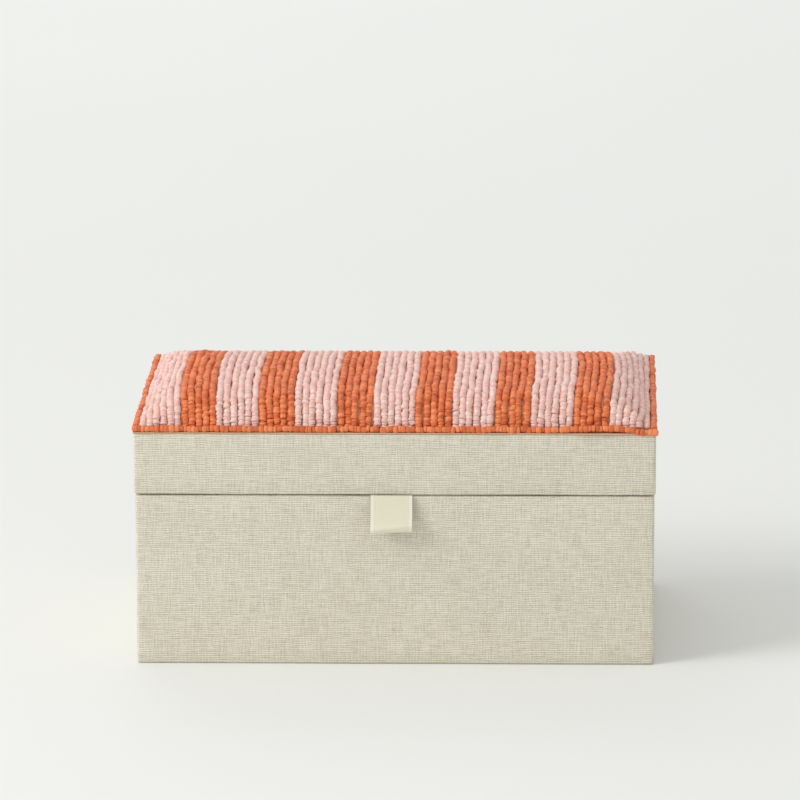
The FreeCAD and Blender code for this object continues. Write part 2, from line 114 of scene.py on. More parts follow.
def block(name, low, high):
    """A cube between two corners, in edit mode with nothing selected."""
    select_none()
    low, high = Vector(low), Vector(high)
    bpy.ops.mesh.primitive_cube_add(size=1, location=(low + high) / 2)
    piece = bpy.context.object
    piece.name = piece.data.name = name
    piece.scale = high - low
    bpy.ops.object.transform_apply(location=True, rotation=True, scale=True)
    bpy.ops.object.mode_set(mode="EDIT")
    bpy.ops.mesh.select_all(action="DESELECT")
    return piece


def pick(piece, kind, test):
    """Selects the faces or edges of the piece in edit mode that pass the test: a face by its middle
    and normal, an edge by its middle and its run."""
    bpy.context.tool_settings.mesh_select_mode = (False, kind == "edges", kind == "faces")
    mesh = bmesh.from_edit_mesh(piece.data)
    for group in (mesh.faces, mesh.edges, mesh.verts):
        for part in group:
            part.select = False
    for part in getattr(mesh, kind):
        if kind == "edges":
            start, end = part.verts[0].co, part.verts[1].co
            part.select = bool(test((start + end) / 2, start - end))
        else:
            part.select = bool(test(part.calc_center_median(), part.normal))
    mesh.select_flush_mode()
    bmesh.update_edit_mesh(piece.data)


def modify(piece, kind, **settings):
    """Adds a modifier, sets it and applies it."""
    select_none()
    bpy.context.view_layer.objects.active = piece
    piece.select_set(True)
    modifier = piece.modifiers.new(kind.title(), kind)
    for key, value in settings.items():
        setattr(modifier, key, value)
    bpy.ops.object.modifier_apply(modifier=modifier.name)


def smooth(piece, degrees=40):
    select_none()
    bpy.context.view_layer.objects.active = piece
    piece.select_set(True)
    bpy.ops.object.shade_smooth_by_angle(angle=math.radians(degrees))


def lay_threads(piece):
    """The piece's own map in metres, so that the weave runs square to its edges."""
    select_none()
    bpy.context.view_layer.objects.active = piece
    piece.select_set(True)
    bpy.ops.object.mode_set(mode="EDIT")
    bpy.ops.mesh.select_all(action="SELECT")
    bpy.ops.uv.cube_project(cube_size=1.0, correct_aspect=False, scale_to_bounds=False)
    bpy.ops.object.mode_set(mode="OBJECT")


def cover(name, low, high, corner, turns):
    """A tube of cloth round four walls. turns are (inset, height) steps from the wall's lower edge
    and from its upper edge, where the cloth folds over the board."""
    piece = block(name, low, high)
    pick(piece, "faces", lambda middle, normal: abs(normal.z) > 0.9)
    bpy.ops.mesh.delete(type="ONLY_FACE")
    pick(piece, "edges", lambda middle, along: abs(along.z) > 0.9 * along.length)
    bpy.ops.mesh.bevel(offset=corner, segments=4, affect="EDGES")
    middle = (Vector(low) + Vector(high)) / 2
    wide, deep = high[0] - low[0], high[1] - low[1]
    for edge, steps in zip((low[2], high[2]), turns):
        pick(piece, "edges", lambda at, along: abs(at.z - edge) < 1e-5 and abs(along.z) < 1e-6)
        inset, height = 0.0, edge
        for new_inset, new_height in steps:
            bpy.ops.mesh.extrude_region_move()
            ratio = [(side - 2 * new_inset) / (side - 2 * inset) for side in (wide, deep)]
            bpy.ops.transform.resize(value=(*ratio, 1), center_override=middle)
            bpy.ops.transform.translate(value=(0, 0, new_height - height))
            inset, height = new_inset, new_height
    bpy.ops.mesh.select_all(action="SELECT")
    bpy.ops.mesh.normals_make_consistent(inside=False)
    bpy.ops.object.mode_set(mode="OBJECT")
    return piece


def weave(name, light, dark, row, column, depth=0.27, sheen=0.15):
    """Plain weave on the piece's own map: yarns row metres apart across yarns column metres apart,
    each yarn a little lighter or darker at random, thick and thin along its run, with painted shade in the
    gaps between them."""
    material, shader, node, link = new_material(name)
    place = node("TexCoord")

    def sums(operation, *values):
        made = node("Math", operation=operation)
        for socket, value in zip(made.inputs, values):
            if isinstance(value, (int, float)):
                socket.default_value = value
            else:
                link(value, socket)
        return made.outputs[0]

    wander = node("TexNoise", Scale=150.0, Detail=3.0)
    link(place.outputs["UV"], wander.inputs["Vector"])
    axes = node("SeparateXYZ")
    link(place.outputs["UV"], axes.inputs["Vector"])
    drift = sums("MULTIPLY", sums("SUBTRACT", wander.outputs["Fac"], 0.5), 1.5 * row)
    ridges = []
    for axis, pitch in (("Y", row), ("X", column)):
        shifted = sums("ADD", axes.outputs[axis], drift)
        ridges.append(sums("ABSOLUTE", sums("SINE", sums("MULTIPLY", shifted, math.pi / pitch))))
    yarns = []
    for scale in ((1 / (7 * MM), 1 / row, 1), (1 / column, 1 / (9 * MM), 1)):
        run = node("Mapping")
        run.inputs["Scale"].default_value = scale
        link(place.outputs["UV"], run.inputs["Vector"])
        yarn = node("TexNoise", Scale=1.0, Detail=2.0, Roughness=0.7)
        link(run.outputs["Vector"], yarn.inputs["Vector"])
        yarns.append(yarn.outputs["Fac"])
    fleck = node("TexNoise", Scale=1100.0, Detail=2.0)
    link(place.outputs["UV"], fleck.inputs["Vector"])
    broad = node("TexNoise", Scale=45.0, Detail=2.0)
    link(place.outputs["Object"], broad.inputs["Vector"])
    shade = sums("MULTIPLY", sums("ADD", yarns[0], yarns[1]), 0.38)
    shade = sums("ADD", shade, sums("MULTIPLY", fleck.outputs["Fac"], 0.2))
    shade = sums("ADD", shade, sums("MULTIPLY", broad.outputs["Fac"], 0.08))
    # The gaps between the yarns darken the colour as painted shade, and also give the bump its depth.
    gap_depth_and_shade = sums("ADD", sums("MULTIPLY", ridges[0], depth), sums("MULTIPLY", ridges[1], 0.75 * depth))
    shade = sums("ADD", shade, sums("SUBTRACT", gap_depth_and_shade, depth))
    colour = node("ValToRGB")
    low, high = colour.color_ramp.elements
    low.position, low.color = 0.22, (*dark, 1)
    high.position, high.color = 0.74, (*light, 1)
    link(shade, colour.inputs["Fac"])
    link(colour.outputs["Color"], shader.inputs["Base Color"])
    bump = node("Bump", Strength=0.5, Distance=0.00012)
    link(sums("ADD", gap_depth_and_shade, shade), bump.inputs["Height"])
    link(bump.outputs["Normal"], shader.inputs["Normal"])
    shader.inputs["Roughness"].default_value = 0.88
    shader.inputs["Sheen Weight"].default_value = sheen
    shader.inputs["Sheen Roughness"].default_value = 0.5
    shader.inputs["Specular IOR Level"].default_value = 0.25
    return material


linen = weave("oatmeal_linen", (0.885, 0.835, 0.705), (0.385, 0.34, 0.25), 0.86 * MM, 0.56 * MM)


def unevenness(piece, amount, size):
    """Pushes the surface in and out a little, as glued cloth lies."""
    normals = [vertex.normal.copy() for vertex in piece.data.vertices]
    for vertex, normal in zip(piece.data.vertices, normals):
        vertex.co += normal * noise.noise(vertex.co / size) * amount


low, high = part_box("base_cover_cloth")
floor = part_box("base_bottom_panel")[0].z
turned = 12 * MM
round_corner = 1.3 * MM
base_cloth = cover(
    "base_linen_cover", (low.x, low.y, floor + 0.9 * MM), (high.x, high.y, high.z - 0.5 * MM),
    round_corner,
    (
        ((0.25 * MM, floor + 0.35 * MM), (0.8 * MM, floor + 0.1 * MM), (1.3 * MM, floor + 0.4 * MM),
         (turned, floor + 0.4 * MM)),
        ((0.2 * MM, high.z - 0.15 * MM), (0.6 * MM, high.z), (2.9 * MM, high.z),
         (3.35 * MM, high.z - 0.2 * MM), (3.5 * MM, high.z - 0.6 * MM), (3.5 * MM, high.z - turned)),
    ),
)


def finish_cover(piece, crushed=None):
    """Fine enough to lie unevenly, then given the cloth's thickness inwards."""
    select_none()
    bpy.context.view_layer.objects.active = piece
    bpy.ops.object.mode_set(mode="EDIT")
    low_z = min(vertex.co.z for vertex in piece.data.vertices)
    high_z = max(vertex.co.z for vertex in piece.data.vertices)
    step = 6 * MM
    for turn, reach in ((Vector((1, 0, 0)), 96 * MM), (Vector((0, 1, 0)), 60 * MM)):
        count = int(2 * reach / step)
        for k in range(count + 1):
            bpy.ops.mesh.select_all(action="SELECT")
            bpy.ops.mesh.bisect(plane_co=turn * (-reach + 2 * reach * k / count), plane_no=turn)
    for k in range(1, int((high_z - low_z) / step)):
        bpy.ops.mesh.select_all(action="SELECT")
        bpy.ops.mesh.bisect(plane_co=(0, 0, low_z + step * k), plane_no=(0, 0, 1))
    bpy.ops.object.mode_set(mode="OBJECT")
    unevenness(piece, 0.16 * MM, 30 * MM)
    if crushed:
        crushed(piece)
    modify(piece, "SOLIDIFY", thickness=0.45 * MM, offset=-1)
    smooth(piece, 50)
    lay_threads(piece)


def worn_corner(piece):
    """The front right foot is knocked round."""
    corner, reach = Vector((high.x, low.y, floor)), 14 * MM
    for vertex in piece.data.vertices:
        away = (vertex.co - corner).length
        if away < reach:
            vertex.co += Vector((-0.22, 0.16, 0.0)) * MM * (1 - away / reach) ** 2


finish_cover(base_cloth, worn_corner)
wear(base_cloth, linen)
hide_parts("base_cover_cloth")
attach(base_cloth, "base")

# Under the base a thin card covered in plain cloth is glued on, which hides the turned edges.
low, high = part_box("base_bottom_panel")


def panel(name, low, high, easing):
    """A thin covered card: a slab with edges eased by a share of its thickness."""
    piece = block(name, low, high)
    thick = min(high - low)
    bpy.ops.mesh.select_all(action="SELECT")
    bpy.ops.mesh.bevel(offset=thick * easing, segments=3, affect="EDGES")
    bpy.ops.object.mode_set(mode="OBJECT")
    smooth(piece, 50)
    lay_threads(piece)
    return piece


bottom_cotton = weave("bottom_cotton", (0.64, 0.60, 0.50), (0.40, 0.36, 0.30), 0.4 * MM, 0.4 * MM, 0.25)
bottom = panel("bottom_panel", low, high, 0.35)
wear(bottom, bottom_cotton)
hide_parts("base_bottom_panel")
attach(bottom, "base")

# The linings: cards covered in fine cream cotton, cut to drop in and glued to the boards.
cotton = weave("cream_cotton", (0.86, 0.82, 0.72), (0.66, 0.61, 0.51), 0.4 * MM, 0.35 * MM, 0.2, 0.1)
for body in ("base", "lid"):
    for side in ("floor", "top", "front", "back", "left", "right"):
        node_name = f"{body}_{side}_lining"
        if node_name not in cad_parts:
            continue
        low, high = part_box(node_name)
        card = panel(f"{body}_{side}_cotton_lining", low, high, 0.3)
        wear(card, cotton)
        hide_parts(node_name)
        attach(card, body)

# The lid's cover: the same linen glued round the lid's walls, turned in under the lower edge and
# over on to the top, where the pad's cloth lies on it.
low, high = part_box("lid_cover_cloth")
lid_cloth = cover(
    "lid_linen_cover", (low.x, low.y, low.z + 0.5 * MM), (high.x, high.y, high.z - 0.5 * MM),
    round_corner,
    (
        ((0.2 * MM, low.z + 0.15 * MM), (0.6 * MM, low.z), (2.9 * MM, low.z), (3.35 * MM, low.z + 0.2 * MM),
         (3.5 * MM, low.z + 0.6 * MM), (3.5 * MM, low.z + turned)),
        ((0.2 * MM, high.z - 0.15 * MM), (0.6 * MM, high.z), (turned, high.z)),
    ),
)
finish_cover(lid_cloth)
wear(lid_cloth, linen)
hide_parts("lid_cover_cloth")
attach(lid_cloth, "lid")

# The pad: soft filling on the lid's board, steep at the front and ends, sloping to the hinge.
lid_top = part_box("bead_cloth")[0].z
crown_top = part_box("pink_stripe_4")[1].z
crown_low, crown_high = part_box("border_front")[0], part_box("border_back")[1]
bead = 2.6 * MM
left, right = crown_low.x + bead, crown_high.x - bead
front, back = crown_low.y + bead, crown_high.y - bead
rise = crown_top - lid_top
side_radius, front_radius, back_radius = 34 * MM, 16 * MM, 200 * MM
upright = 3.2 * MM


def shoulder(radius):
    return math.sqrt(radius ** 2 - (radius - rise + upright) ** 2)


def height_across(x, sunk=0.0):
    """Height of the crown over the lid's top at x, sunk under the beads' outer face."""
    past = abs(x - (left + right) / 2) - ((right - left) / 2 - shoulder(side_radius))
    if past <= 0:
        return rise - sunk
    return rise - side_radius + math.sqrt(max((side_radius - sunk) ** 2 - past ** 2, 0))


def run_along(top, sunk, foot=0.0, easing=30):
    """The outline from front to back at one x: up the pad's edge and front shoulder as far as top,
    and down the long slope to its foot, as 400 even (y, height) steps with the turns eased."""
    points = [(front + sunk, foot)]
    for radius, edge, way in ((front_radius, front, 1), (back_radius, back, -1)):
        start = math.acos((shoulder(radius) - sunk) / (radius - sunk))
        arc = []
        for k in range(121):
            angle = start + (math.pi / 2 - start) * k / 120
            arc.append((edge + way * (shoulder(radius) - (radius - sunk) * math.cos(angle)),
                        rise - radius + (radius - sunk) * math.sin(angle)))
        points += arc if way == 1 else arc[::-1]
    points.append((back - sunk, foot))
    line = np.array([(y, max(min(z, top), foot)) for y, z in points])
    length = np.concatenate([[0], np.cumsum(np.hypot(*np.diff(line, axis=0).T))])
    even = np.linspace(0, length[-1], 400)
    line = np.stack([np.interp(even, length, line[:, 0]), np.interp(even, length, line[:, 1])], 1)
    for _ in range(easing):
        line[1:-1] += 0.5 * ((line[:-2] + line[2:]) / 2 - line[1:-1])
    return line


select_none()
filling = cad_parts["foam_pad"].copy()
filling.data = filling.data.copy()
filling.name = filling.data.name = "pad_filling"
filling.parent = None
bpy.context.collection.objects.link(filling)
for key in list(filling.keys()):
    del filling[key]
for vertex in filling.data.vertices:
    vertex.co.x *= 0.992
    vertex.co.y = (vertex.co.y + 0.0023) * 0.99 - 0.0023
    vertex.co.z = lid_top + (vertex.co.z - lid_top) * 0.93
mesh = bmesh.new()
mesh.from_mesh(filling.data)
bmesh.ops.remove_doubles(mesh, verts=mesh.verts, dist=1e-6)
mesh.to_mesh(filling.data)
mesh.free()
modify(filling, "REMESH", mode="VOXEL", voxel_size=0.004)
start_points = [vertex.co.copy() for vertex in filling.data.vertices]
puff = filling.modifiers.new("Puff", "CLOTH")
puff.settings.use_pressure = True
puff.settings.uniform_pressure_force = 4
puff.settings.effector_weights.gravity = 0
for step in range(1, 13):
    bpy.context.scene.frame_set(step)
select_none()
bpy.context.view_layer.objects.active = filling
filling.select_set(True)
bpy.ops.object.modifier_apply(modifier=puff.name)
for vertex, start_point in zip(filling.data.vertices, start_points):
    moved = vertex.co - start_point
    moved.length = min(moved.length, 0.35 * MM)
    vertex.co = start_point + moved
    vertex.co.z = max(vertex.co.z, lid_top)
modify(filling, "SUBSURF", levels=1, render_levels=1)
smooth(filling, 60)
wadding, shader, node, link = new_material("wadding")
place = node("TexCoord")
fluff = node("TexNoise", Scale=400.0, Detail=6.0, Roughness=0.8)
link(place.outputs["Object"], fluff.inputs["Vector"])
white = node("ValToRGB")
white.color_ramp.elements[0].color = (0.70, 0.67, 0.60, 1)
white.color_ramp.elements[1].color = (0.86, 0.84, 0.78, 1)
link(fluff.outputs["Fac"], white.inputs["Fac"])
link(white.outputs["Color"], shader.inputs["Base Color"])
shader.inputs["Roughness"].default_value = 0.95
wear(filling, wadding)
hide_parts("foam_pad")
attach(filling, "lid")

# The ground cloth: a tan cloth that carries the beads, drawn over the pad and glued down round
# it on a narrow raw-edged flange.
flange_low, flange_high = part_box("bead_cloth")
select_none()
across_count, along_count = 150, 110
bpy.ops.mesh.primitive_grid_add(
    x_subdivisions=across_count, y_subdivisions=along_count, size=1, location=(0, 0, 0))
ground = bpy.context.object
ground.name = ground.data.name = "bead_ground_cloth"
sunk = 0.78 * bead
edge_x, edge_y = 0.03, 0.04
columns = {}
for vertex in ground.data.vertices:
    u, v = vertex.co.x + 0.5, vertex.co.y + 0.5
    column = round(u * across_count)
    if column not in columns:
        if u < edge_x:
            x, top = flange_low.x + (left + sunk - flange_low.x) * u / edge_x, 0.0
        elif u > 1 - edge_x:
            x, top = right - sunk + (flange_high.x - right + sunk) * (u - 1 + edge_x) / edge_x, 0.0
        else:
            x = left + sunk + (right - left - 2 * sunk) * (u - edge_x) / (1 - 2 * edge_x)
            top = max(height_across(x, sunk) - 0.4 * MM, 0.0)
        columns[column] = (x, run_along(top, sunk))
    x, line = columns[column]
    if v < edge_y:
        y, z = flange_low.y + (line[0][0] - flange_low.y) * v / edge_y, 0.0
    elif v > 1 - edge_y:
        y, z = line[-1][0] + (flange_high.y - line[-1][0]) * (v - 1 + edge_y) / edge_y, 0.0
    else:
        at = (v - edge_y) / (1 - 2 * edge_y) * (len(line) - 1)
        y = float(np.interp(at, range(len(line)), line[:, 0]))
        z = float(np.interp(at, range(len(line)), line[:, 1]))
    fray = abs(noise.noise(Vector((x, y, 0.007)) / (3 * MM))) * 0.35 * MM
    if v < 0.001:
        fray -= 0.75 * MM * math.exp(-((x - 79 * MM) / (12 * MM)) ** 2)
    x -= math.copysign(1, x) * abs(fray) * (u < 0.001 or u > 0.999)
    y -= math.copysign(1, y) * fray * (v < 0.001 or v > 0.999)
    vertex.co = Vector((x, y, lid_top + 0.4 * MM + z))
modify(ground, "SOLIDIFY", thickness=0.4 * MM, offset=-1)
smooth(ground, 60)
tan = weave("bead_ground", (0.80, 0.53, 0.33), (0.55, 0.31, 0.17), 0.5 * MM, 0.6 * MM)
lay_threads(ground)
wear(ground, tan)
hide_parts("bead_cloth")
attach(ground, "lid")

# The beads: short matte glass beads strung side by side. One bead is turned, and every strand of
# the stripes and the border is threaded from copies of it, no two quite the same size.
select_none()
bpy.ops.mesh.primitive_cylinder_add(
    vertices=8, radius=0.5, depth=1.0, end_fill_type="NGON", location=(0, 0, 0))
one_bead = bpy.context.object
one_bead.name = one_bead.data.name = "one_bead"
bpy.ops.object.mode_set(mode="EDIT")
pick(one_bead, "edges", lambda at, along: abs(along.z) < 0.1)
bpy.ops.mesh.bevel(offset=0.25, segments=2, affect="EDGES")
pick(one_bead, "faces", lambda middle, normal: abs(normal.z) > 0.95)
bpy.ops.mesh.inset(thickness=0.1)
bpy.ops.transform.resize(value=(1, 1, 0.86))
bpy.ops.object.mode_set(mode="OBJECT")
bead_points = np.array([vertex.co for vertex in one_bead.data.vertices])
bead_faces = [list(face.vertices) for face in one_bead.data.polygons]
bpy.data.objects.remove(one_bead)
chance = np.random.default_rng(19)


def thread(line, sizes):
    """Beads along a line of points: their places, directions, thicknesses and widths."""
    steps = np.linalg.norm(np.diff(line, axis=0), axis=1)
    length = np.concatenate([[0], np.cumsum(steps)])
    beads, at = [], 0.0
    while at < length[-1]:
        thick = sizes[0] * (1 + chance.normal(0, 0.26))
        thick = min(max(thick, 0.6 * sizes[0]), 1.6 * sizes[0])
        lump = noise.noise(Vector((at / (2.8 * MM), 7.3, float(line[0][0]) / (1.1 * MM))))
        wide = sizes[1] * (1 + 0.11 * lump + chance.normal(0, 0.065))
        middle = at + thick / 2
        if middle > length[-1]:
            break
        place, ahead, behind = (
            np.array([np.interp(middle + step, length, line[:, axis]) for axis in range(3)])
            for step in (0, 0.4 * MM, -0.4 * MM))
        place += chance.normal(0, 0.12 * MM, 3)
        beads.append((place, ahead - behind, thick, min(wide, 1.12 * sizes[1])))
        steep = abs(ahead[2] - behind[2]) / np.linalg.norm(ahead - behind)
        at += thick * (0.82 - 0.16 * steep ** 2 + abs(chance.normal(0, 0.04)))
    return beads


def string_up(name, beads, material):
    """One mesh of bead copies, each with its own shade in the attribute that the glass reads."""
    count, points_each = len(beads), len(bead_points)
    points = np.empty((count, points_each, 3))
    shade = np.empty((count, points_each))
    for k, (place, along, thick, wide, lift) in enumerate(beads):
        along = along / np.linalg.norm(along) + chance.normal(0, 0.13, 3)
        along /= np.linalg.norm(along)
        side = np.cross(along, lift)
        side /= np.linalg.norm(side)
        up = np.cross(side, along)
        roll = chance.uniform(0, math.pi / 4)
        right_way = side * math.cos(roll) + up * math.sin(roll)
        top_way = -side * math.sin(roll) + up * math.cos(roll)
        local = bead_points * [wide, wide, thick]
        points[k] = place + local[:, :1] * right_way + local[:, 1:2] * top_way + local[:, 2:] * along
        shade[k] = chance.uniform()
    mesh = bpy.data.meshes.new(name)
    faces = [[k * points_each + corner for corner in face]
             for k in range(count) for face in bead_faces]
    mesh.from_pydata(points.reshape(-1, 3).tolist(), [], faces)
    attribute = mesh.attributes.new("bead_shade", "FLOAT", "POINT")
    attribute.data.foreach_set("value", shade.ravel().astype(np.float32))
    piece = bpy.data.objects.new(name, mesh)
    bpy.context.collection.objects.link(piece)
    select_none()
    bpy.context.view_layer.objects.active = piece
    piece.select_set(True)
    bpy.ops.object.mode_set(mode="EDIT")
    bpy.ops.mesh.select_all(action="SELECT")
    bpy.ops.mesh.normals_make_consistent(inside=False)
    bpy.ops.object.mode_set(mode="OBJECT")
    smooth(piece, 70)
    wear(piece, material)
    return piece


def glass(name, shades):
    """Matte satin glass: each bead picks its own shade, with a faint cloud through it."""
    material, shader, node, link = new_material(name)
    own = node("Attribute", attribute_name="bead_shade")
    place = node("TexCoord")
    cloud = node("TexNoise", Scale=700.0, Detail=2.0)
    link(place.outputs["Object"], cloud.inputs["Vector"])
    mix = node("Mix", data_type="FLOAT", Factor=0.3)
    link(own.outputs["Fac"], mix.inputs[2])
    link(cloud.outputs["Fac"], mix.inputs[3])
    colour = node("ValToRGB")
    ramp = colour.color_ramp
    for k, (position, value) in enumerate(shades):
        element = ramp.elements[k] if k < 2 else ramp.elements.new(position)
        element.position, element.color = position, (*value, 1)
    link(mix.outputs[0], colour.inputs["Fac"])
    link(colour.outputs["Color"], shader.inputs["Base Color"])
    shader.inputs["Roughness"].default_value = 0.42
    shader.inputs["Specular IOR Level"].default_value = 0.3
    shader.inputs["Subsurface Weight"].default_value = 0.15
    shader.inputs["Subsurface Scale"].default_value = 0.0012
    shader.inputs["Coat Weight"].default_value = 0.06
    shader.inputs["Coat Roughness"].default_value = 0.3
    grain = node("Bump", Strength=0.15, Distance=0.0001)
    link(cloud.outputs["Fac"], grain.inputs["Height"])
    link(grain.outputs["Normal"], shader.inputs["Normal"])
    return material


orange_glass = glass("orange_glass", [
    (0.05, (0.56, 0.11, 0.034)), (0.95, (0.94, 0.32, 0.135)), (0.5, (0.82, 0.21, 0.073))])
pink_glass = glass("pink_glass", [
    (0.05, (0.82, 0.49, 0.435)), (0.95, (0.98, 0.73, 0.675)), (0.5, (0.92, 0.61, 0.55))])

stripes = [("pink", k) for k in range(1, 8)] + [("orange", k) for k in range(1, 7)]
spans = {}
for colour, k in stripes:
    low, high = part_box(f"{colour}_stripe_{k}")
    spans[(colour, k)] = (low.x, high.x)
order = sorted(stripes, key=lambda stripe: spans[stripe][0])
flat_half = (right - left) / 2 - shoulder(side_radius)
strand_radius = side_radius - bead / 2
for colour, k in order:
    strands = 6 if colour == "pink" else 5
    low_x, high_x = spans[(colour, k)]
    beads = []
    for strand in range(strands):
        foot_x = low_x + (high_x - low_x) * (strand + 0.5) / strands
        over = abs(foot_x) * 1.03 - flat_half
        if over > 0:
            crest_x = math.copysign(flat_half + strand_radius * math.sin(over / strand_radius), foot_x)
            top = rise - side_radius + strand_radius * math.cos(over / strand_radius)
        else:
            crest_x, top = foot_x * 1.03, rise - bead / 2
        line = run_along(top, bead / 2, bead / 2 + 0.4 * MM)
        sway = chance.uniform(0, 100)
        path = np.array([(
            foot_x + (crest_x - foot_x) * math.sin(math.pi * (y - front) / (back - front)) ** 0.7
            + noise.noise(Vector((y / (10 * MM), sway, 0.5))) * 0.6 * MM,
            y,
            lid_top + z + noise.noise(Vector((y / (8 * MM), sway, 9.5))) * 0.4 * MM,
        ) for y, z in line])
        tilt = math.copysign(math.sin(max(over, 0) / strand_radius), foot_x)
        for place, along, thick, wide in thread(path, (1.45 * MM, 2.8 * MM)):
            way = along / np.linalg.norm(along)
            beads.append((place, along, thick, wide, np.array([tilt, -way[2], abs(way[1]) + 0.2])))
    piece = string_up(f"{colour}_beads_{k}", beads, orange_glass if colour == "orange" else pink_glass)
    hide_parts(f"{colour}_stripe_{k}")
    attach(piece, "lid")

# The border: one strand of orange beads laid round the foot of the pad and sewn to the cloth.
level = lid_top + 0.4 * MM + bead / 2
for side in ("front", "back", "left", "right"):
    low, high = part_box(f"border_{side}")
    long_way = 0 if side in ("front", "back") else 1
    count = 120
    line = np.zeros((count, 3))
    line[:, long_way] = np.linspace(low[long_way] + 0.2 * MM, high[long_way] - 0.2 * MM, count)
    line[:, 1 - long_way] = (low[1 - long_way] + high[1 - long_way]) / 2
    line[:, 2] = level - 0.05 * MM
    for point in line:
        along = point[long_way]
        point[1 - long_way] += noise.noise(Vector((along / (12 * MM), 3.0, long_way))) * 0.3 * MM
        point[2] += noise.noise(Vector((along / (9 * MM), 5.0, long_way))) * 0.2 * MM
    if side == "front":
        lifted = np.exp(-((line[:, 0] - 79 * MM) / (10 * MM)) ** 2)
        slipped = 1 / (1 + np.exp(-(line[:, 0] - 91.5 * MM) / (1.6 * MM)))
        line[:, 2] += (0.45 * lifted - 0.85 * slipped) * MM
        line[:, 1] -= (0.8 * slipped - 0.25 * lifted) * MM
    beads = [(place, along, thick, wide, np.array([0.0, 0.0, 1.0]))
             for place, along, thick, wide in thread(line, (1.95 * MM, 2.6 * MM))]
    piece = string_up(f"border_beads_{side}", beads, orange_glass)
    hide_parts(f"border_{side}")
    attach(piece, "lid")

# The hinge: a strip of the cover linen glued over the back joint outside, and a narrower strip
# of cotton inside, which makes a small fold into the box when the lid is shut.


def strip(name, outline, half, step=6 * MM):
    """A strip of cloth along x whose cross-section follows the outline's (y, z) points."""
    select_none()
    bpy.ops.mesh.primitive_grid_add(
        x_subdivisions=int(2 * half / step), y_subdivisions=len(outline) - 1, size=1)
    piece = bpy.context.object
    piece.name = piece.data.name = name
    for vertex in piece.data.vertices:
        y, z = outline[round((vertex.co.y + 0.5) * (len(outline) - 1))]
        vertex.co = Vector((vertex.co.x * 2 * half, y, z))
    return piece


low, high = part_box("hinge_outer_base_leaf")
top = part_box("hinge_outer_lid_leaf")[1].z
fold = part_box("hinge_outer_fold")
below, above = fold[0].z, fold[1].z
heights = [low.z, low.z + 4 * MM, low.z + 8 * MM, below - 0.9 * MM, below - 0.4 * MM, below,
           (below + above) / 2, above, above + 0.4 * MM, above + 0.9 * MM,
           top - 8 * MM, top - 4 * MM, top]
outer = strip("outer_hinge_strip", [(high.y - 0.02 * MM, z) for z in heights], high.x)
inwards = 1 if outer.data.polygons[0].normal.y < 0 else -1
modify(outer, "SOLIDIFY", thickness=0.42 * MM, offset=inwards)
modify(outer, "BEVEL", width=0.12 * MM, segments=2, limit_method="ANGLE")
smooth(outer, 50)
lay_threads(outer)
wear(outer, linen)
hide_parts("hinge_outer_base_leaf", "hinge_outer_fold", "hinge_outer_lid_leaf")
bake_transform(outer)

low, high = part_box("hinge_inner_base_leaf")
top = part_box("hinge_inner_lid_leaf")[1].z
fold_low, fold_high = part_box("hinge_inner_fold")
face = low.y + 0.05 * MM
seam = (fold_low.z + fold_high.z) / 2
roll_out, roll_up = face - fold_low.y - 0.25 * MM, 0.95 * MM
outline = [(face, low.z), (face, low.z + 4 * MM),
           (face, fold_low.z - 1.5 * MM), (face, fold_low.z - 0.3 * MM)]
for k in range(9):
    angle = math.pi * k / 8
    outline.append((face - roll_out * math.sin(angle), seam - roll_up * math.cos(angle)))
outline += [(face, fold_high.z + 0.3 * MM), (face, fold_high.z + 1.5 * MM),
            (face, top - 4 * MM), (face, top)]
inner = strip("inner_hinge_strip", outline, high.x)
modify(inner, "SOLIDIFY", thickness=0.4 * MM, offset=0)
smooth(inner, 60)
lay_threads(inner)
wear(inner, cotton)
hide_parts("hinge_inner_base_leaf", "hinge_inner_fold", "hinge_inner_lid_leaf")
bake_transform(inner)

# The pull: an ivory satin ribbon folded into a loop, its two ends glued inside the lid's front,
# with a woven selvedge along each edge. It hangs out of the seam by its own stiffness.
tab_low, tab_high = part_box("ribbon_loop")
glued_low, glued_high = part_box("ribbon_glued_end")
half = 8 * MM
middle = (tab_high.x + tab_low.x) / 2 + 0.5 * MM
swing = Vector((middle, -66.35 * MM, 67.3 * MM))
layers = 10


def loop_side(t):
    """The loop's line from the seam out to its bend, round under it and back up, at t across the
    ribbon from left to right: the right edge bends higher, as the loop is a little twisted."""
    bend = Vector((0, -71.9, 55.0 + 2.0 * t)) * MM
    under = Vector((0, -71.1 + 0.1 * t, 53.5 + 0.9 * t)) * MM
    behind = Vector((0, -69.7, 54.0 + 0.9 * t)) * MM
    knots = [swing, Vector((0, -67.8, 61.8)) * MM, Vector((0, -69.5, 58.0)) * MM, bend, under, behind,
             Vector((0, -67.7, 60.0)) * MM, swing + Vector((0, 0.12, -0.3)) * MM]
    line = [knots[0]]
    for k in range(len(knots) - 1):
        before, a, b = knots[max(k - 1, 0)], knots[k], knots[k + 1]
        after = knots[min(k + 2, len(knots) - 1)]
        for step in range(1, layers + 1):
            w = step / layers
            line.append(0.5 * (2 * a + (b - before) * w + (2 * before - 5 * a + 4 * b - after) * w * w
                               + (3 * a - before - 3 * b + after) * w ** 3))
    return line


